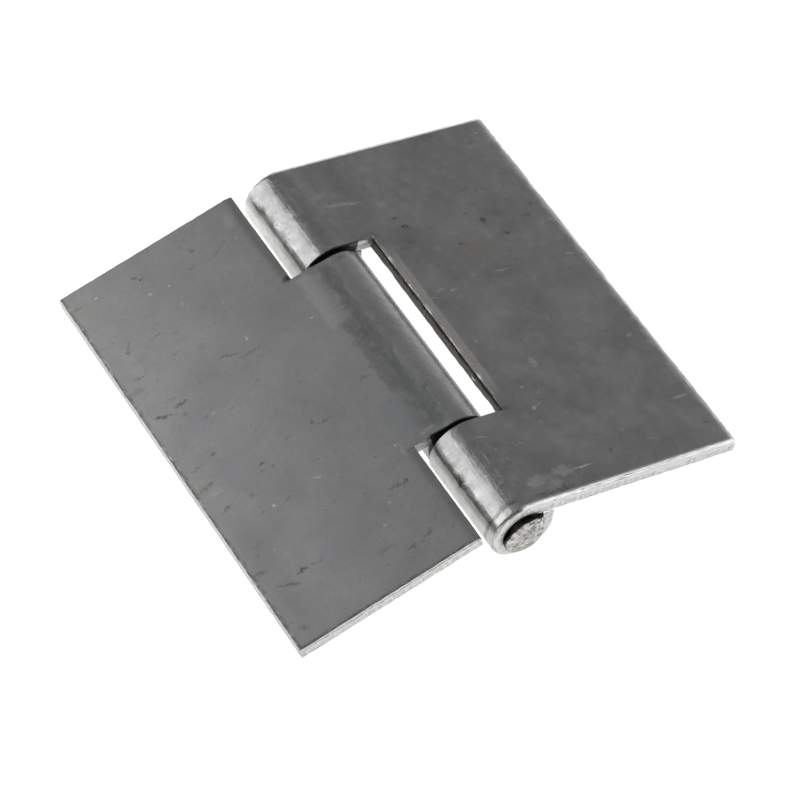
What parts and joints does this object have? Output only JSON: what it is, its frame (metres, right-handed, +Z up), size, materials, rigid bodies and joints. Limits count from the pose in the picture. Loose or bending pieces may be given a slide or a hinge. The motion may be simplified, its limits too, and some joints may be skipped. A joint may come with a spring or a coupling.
{
  "type": "butt hinge",
  "caption": "Square bare-steel butt hinge with undrilled leaves rolled from sheet round a peened pin: one long middle knuckle between two outer ones.",
  "frame": {"origin": "on the ground, under the middle of the barrel, with the hinge resting like a low roof", "axes": "+Y along the pin, +X towards the leaf with the two outer knuckles, +Z up"},
  "size_m": [0.0811, 0.0824, 0.0115],
  "materials": {
    "outer_leaf_steel": "bare rolled sheet, dark mill surface with bright sheared edges, scuffs and small rust specks",
    "middle_leaf_steel": "bare rolled sheet, grey mill surface with short dark scratches",
    "pin_steel": "bare steel wire, rough bright peened ends"
  },
  "bodies": {
    "outer_leaf": {"outer_knuckle_leaf": "outer_leaf_steel", "hinge_pin": "pin_steel"},
    "middle_leaf": {"middle_knuckle_leaf": "middle_leaf_steel"}
  },
  "joints": [
    {"name": "opening", "type": "hinge", "parent": "outer_leaf", "child": "middle_leaf", "pos_m": [0, 0, 0.00576], "axis": [0, 1, 0], "range_deg": [-163, 126]}
  ]
}
